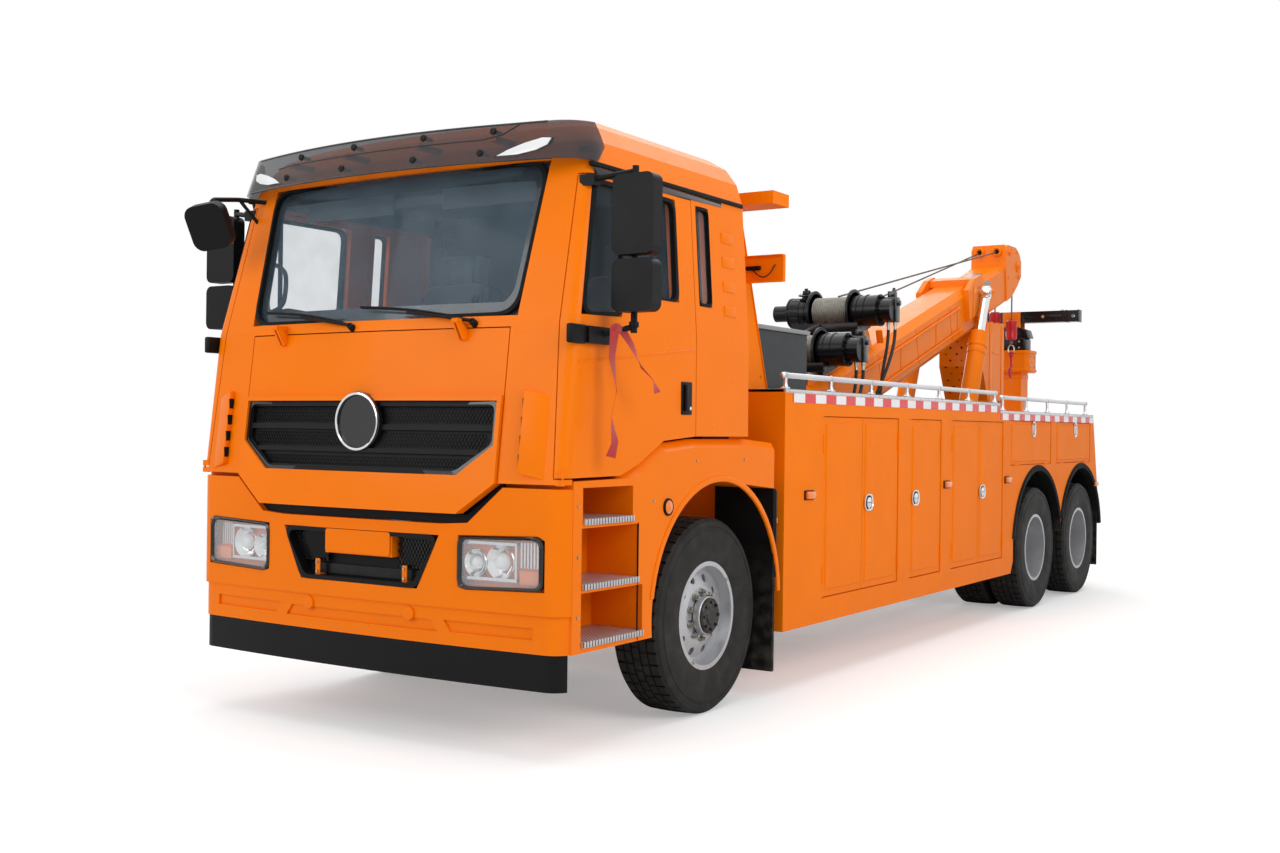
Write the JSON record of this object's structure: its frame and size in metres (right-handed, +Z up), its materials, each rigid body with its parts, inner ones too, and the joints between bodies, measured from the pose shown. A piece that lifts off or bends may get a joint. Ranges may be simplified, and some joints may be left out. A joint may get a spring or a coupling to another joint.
{
  "type": "heavy tow truck",
  "caption": "Heavy three-axle recovery truck with cab, locker body, telescopic boom with twin winches and a folding underlift with crossbar.",
  "frame": {"origin": "on the ground under the middle of the truck's bounding box", "axes": "+X to the vehicle's left, +Y rearward, +Z up"},
  "size_m": [3.09, 10.7665, 3.6],
  "materials": {
    "cab_paint": "gloss orange",
    "body_paint": "gloss orange",
    "black_plastic": "grained",
    "black_steel": "satin black",
    "grey_paint": "satin grey",
    "barrel_paint": "gloss orange",
    "rod_chrome": "hard chrome",
    "glass": "clear",
    "smoked": "smoked",
    "lamp": "clear",
    "bright": "brushed",
    "flap_rubber": "matt",
    "interior": "grained",
    "tyre": "matt",
    "rim": "silver"
  },
  "bodies": {
    "chassis": {"chassis_frame": "black_steel", "engine_block": "black_steel", "axles": "black_steel", "bumper": "cab_paint", "bumper_lip": "black_plastic", "lamps": "lamp", "fenders": "cab_paint", "bright_trim": "bright", "mud_flaps": "flap_rubber", "deck_body": "body_paint", "gantry": "body_paint", "oil_tank": "grey_paint", "underlift_mast": "body_paint", "cab_shell": "cab_paint", "cab_glass": "glass", "cab_interior": "interior", "sun_visor": "smoked", "kerb_mirror": "black_plastic"},
    "front_panel": {"front_panel": "cab_paint", "front_grille": "black_plastic"},
    "door_left": {"door_left": "cab_paint", "door_glass_left": "glass", "mirror_left": "black_plastic"},
    "knuckle_left": {"knuckle_left": "black_steel"},
    "wheel_front_left": {"tyre_front_left": "tyre", "rim_front_left": "rim"},
    "wheels_rear_1_left": {"wheels_rear_1_left": "tyre"},
    "wheels_rear_2_left": {"wheels_rear_2_left": "tyre"},
    "locker_door_1_left": {"locker_door_1_left": "body_paint"},
    "locker_door_2_left": {"locker_door_2_left": "body_paint"},
    "locker_door_3_left": {"locker_door_3_left": "body_paint"},
    "locker_door_4_left": {"locker_door_4_left": "body_paint"},
    "locker_door_5_left": {"locker_door_5_left": "body_paint"},
    "locker_flap_1_left": {"locker_flap_1_left": "body_paint"},
    "locker_flap_2_left": {"locker_flap_2_left": "body_paint"},
    "door_right": {"door_right": "cab_paint", "door_glass_right": "glass", "mirror_right": "black_plastic"},
    "knuckle_right": {"knuckle_right": "black_steel"},
    "wheel_front_right": {"tyre_front_right": "tyre", "rim_front_right": "rim"},
    "wheels_rear_1_right": {"wheels_rear_1_right": "tyre"},
    "wheels_rear_2_right": {"wheels_rear_2_right": "tyre"},
    "locker_door_1_right": {"locker_door_1_right": "body_paint"},
    "locker_door_2_right": {"locker_door_2_right": "body_paint"},
    "locker_door_3_right": {"locker_door_3_right": "body_paint"},
    "locker_door_4_right": {"locker_door_4_right": "body_paint"},
    "locker_door_5_right": {"locker_door_5_right": "body_paint"},
    "locker_flap_1_right": {"locker_flap_1_right": "body_paint"},
    "locker_flap_2_right": {"locker_flap_2_right": "body_paint"},
    "boom": {"boom": "body_paint", "winches": "black_steel"},
    "boom_extension": {"boom_extension": "body_paint"},
    "sheave_blocks": {"sheave_blocks": "body_paint"},
    "lift_barrels": {"lift_barrels": "barrel_paint"},
    "lift_rods": {"lift_rods": "rod_chrome"},
    "underlift_slide": {"underlift_slide": "body_paint"},
    "underlift_arm": {"underlift_arm": "body_paint"},
    "crossbar": {"crossbar": "black_steel"}
  },
  "joints": [
    {"name": "panel_lift", "type": "hinge", "parent": "chassis", "child": "front_panel", "pos_m": [0, -5.22, 2.075], "axis": [-1, 0, 0], "range_deg": [0, 75]},
    {"name": "door_left_swing", "type": "hinge", "parent": "chassis", "child": "door_left", "pos_m": [1.23, -5.17, 1.7], "axis": [0, 0, -1], "range_deg": [0, 70]},
    {"name": "steer_left", "type": "hinge", "parent": "chassis", "child": "knuckle_left", "pos_m": [0.9, -3.71, 0.54], "axis": [0, 0, 1], "range_deg": [-35, 35]},
    {"name": "spin_front_left", "type": "hinge", "parent": "knuckle_left", "child": "wheel_front_left", "pos_m": [1.03, -3.71, 0.54], "axis": [1, 0, 0], "continuous": true},
    {"name": "spin_rear_1_left", "type": "hinge", "parent": "chassis", "child": "wheels_rear_1_left", "pos_m": [0.9225, 2.065, 0.54], "axis": [1, 0, 0], "continuous": true},
    {"name": "spin_rear_2_left", "type": "hinge", "parent": "chassis", "child": "wheels_rear_2_left", "pos_m": [0.9225, 3.465, 0.54], "axis": [1, 0, 0], "continuous": true},
    {"name": "locker_door_1_left_swing", "type": "hinge", "parent": "chassis", "child": "locker_door_1_left", "pos_m": [1.25, -2.422, 1.0875], "axis": [0, 0, -1], "range_deg": [0, 90]},
    {"name": "locker_door_2_left_swing", "type": "hinge", "parent": "chassis", "child": "locker_door_2_left", "pos_m": [1.25, -1.208, 1.0875], "axis": [0, 0, 1], "range_deg": [0, 90]},
    {"name": "locker_door_3_left_swing", "type": "hinge", "parent": "chassis", "child": "locker_door_3_left", "pos_m": [1.25, -0.373, 1.0875], "axis": [0, 0, 1], "range_deg": [0, 90]},
    {"name": "locker_door_4_left_swing", "type": "hinge", "parent": "chassis", "child": "locker_door_4_left", "pos_m": [1.25, -0.142, 1.0875], "axis": [0, 0, -1], "range_deg": [0, 90]},
    {"name": "locker_door_5_left_swing", "type": "hinge", "parent": "chassis", "child": "locker_door_5_left", "pos_m": [1.25, 1.072, 1.0875], "axis": [0, 0, 1], "range_deg": [0, 90]},
    {"name": "locker_flap_1_left_drop", "type": "hinge", "parent": "chassis", "child": "locker_flap_1_left", "pos_m": [1.25, 1.865, 1.293], "axis": [0, 1, 0], "range_deg": [0, 95]},
    {"name": "locker_flap_2_left_drop", "type": "hinge", "parent": "chassis", "child": "locker_flap_2_left", "pos_m": [1.25, 3.205, 1.293], "axis": [0, 1, 0], "range_deg": [0, 95]},
    {"name": "door_right_swing", "type": "hinge", "parent": "chassis", "child": "door_right", "pos_m": [-1.23, -5.17, 1.7], "axis": [0, 0, 1], "range_deg": [0, 70]},
    {"name": "steer_right", "type": "hinge", "parent": "chassis", "child": "knuckle_right", "pos_m": [-0.9, -3.71, 0.54], "axis": [0, 0, 1], "range_deg": [-35, 35]},
    {"name": "spin_front_right", "type": "hinge", "parent": "knuckle_right", "child": "wheel_front_right", "pos_m": [-1.03, -3.71, 0.54], "axis": [1, 0, 0], "continuous": true},
    {"name": "spin_rear_1_right", "type": "hinge", "parent": "chassis", "child": "wheels_rear_1_right", "pos_m": [-0.9225, 2.065, 0.54], "axis": [1, 0, 0], "continuous": true},
    {"name": "spin_rear_2_right", "type": "hinge", "parent": "chassis", "child": "wheels_rear_2_right", "pos_m": [-0.9225, 3.465, 0.54], "axis": [1, 0, 0], "continuous": true},
    {"name": "locker_door_1_right_swing", "type": "hinge", "parent": "chassis", "child": "locker_door_1_right", "pos_m": [-1.25, -2.422, 1.0875], "axis": [0, 0, 1], "range_deg": [0, 90]},
    {"name": "locker_door_2_right_swing", "type": "hinge", "parent": "chassis", "child": "locker_door_2_right", "pos_m": [-1.25, -1.208, 1.0875], "axis": [0, 0, -1], "range_deg": [0, 90]},
    {"name": "locker_door_3_right_swing", "type": "hinge", "parent": "chassis", "child": "locker_door_3_right", "pos_m": [-1.25, -0.373, 1.0875], "axis": [0, 0, -1], "range_deg": [0, 90]},
    {"name": "locker_door_4_right_swing", "type": "hinge", "parent": "chassis", "child": "locker_door_4_right", "pos_m": [-1.25, -0.142, 1.0875], "axis": [0, 0, 1], "range_deg": [0, 90]},
    {"name": "locker_door_5_right_swing", "type": "hinge", "parent": "chassis", "child": "locker_door_5_right", "pos_m": [-1.25, 1.072, 1.0875], "axis": [0, 0, -1], "range_deg": [0, 90]},
    {"name": "locker_flap_1_right_drop", "type": "hinge", "parent": "chassis", "child": "locker_flap_1_right", "pos_m": [-1.25, 1.865, 1.293], "axis": [0, -1, 0], "range_deg": [0, 95]},
    {"name": "locker_flap_2_right_drop", "type": "hinge", "parent": "chassis", "child": "locker_flap_2_right", "pos_m": [-1.25, 3.205, 1.293], "axis": [0, -1, 0], "range_deg": [0, 95]},
    {"name": "boom_lift", "type": "hinge", "parent": "chassis", "child": "boom", "pos_m": [0, -0.36, 1.684], "axis": [1, 0, 0], "range_deg": [0, 25]},
    {"name": "boom_extend", "type": "slide", "parent": "boom", "child": "boom_extension", "axis": [0, 0.9537, 0.3007], "range_m": [0, 1.8]},
    {"name": "sheave_swing", "type": "hinge", "parent": "boom_extension", "child": "sheave_blocks", "pos_m": [0, 4.72, 3.398], "axis": [1, 0, 0], "range_deg": [-25, 0]},
    {"name": "barrel_swing", "type": "hinge", "parent": "chassis", "child": "lift_barrels", "pos_m": [0, 2.528, 1.25], "axis": [1, 0, 0], "range_deg": [0, 26.3]},
    {"name": "rod_slide", "type": "slide", "parent": "lift_barrels", "child": "lift_rods", "axis": [0, 0.4031, 0.9152], "range_m": [0, 1.27]},
    {"name": "underlift_lift", "type": "slide", "parent": "chassis", "child": "underlift_slide", "axis": [0, 0, 1], "range_m": [-0.5, 0.2]},
    {"name": "underlift_fold", "type": "hinge", "parent": "underlift_slide", "child": "underlift_arm", "pos_m": [0, 5.225, 0.85], "axis": [-1, 0, 0], "range_deg": [0, 95]},
    {"name": "crossbar_swivel", "type": "hinge", "parent": "underlift_arm", "child": "crossbar", "pos_m": [0, 5.225, 2.876], "axis": [0, 1, 0], "range_deg": [-20, 20]}
  ],
  "couplings": [
    {"joint": "steer_right", "follows": "steer_left", "ratio": 1},
    {"joint": "sheave_swing", "follows": "boom_lift", "ratio": -1},
    {"joint": "barrel_swing", "follows": "boom_lift", "ratio": 1.0448},
    {"joint": "rod_slide", "follows": "boom_lift", "m_per_rad": 2.8976}
  ]
}
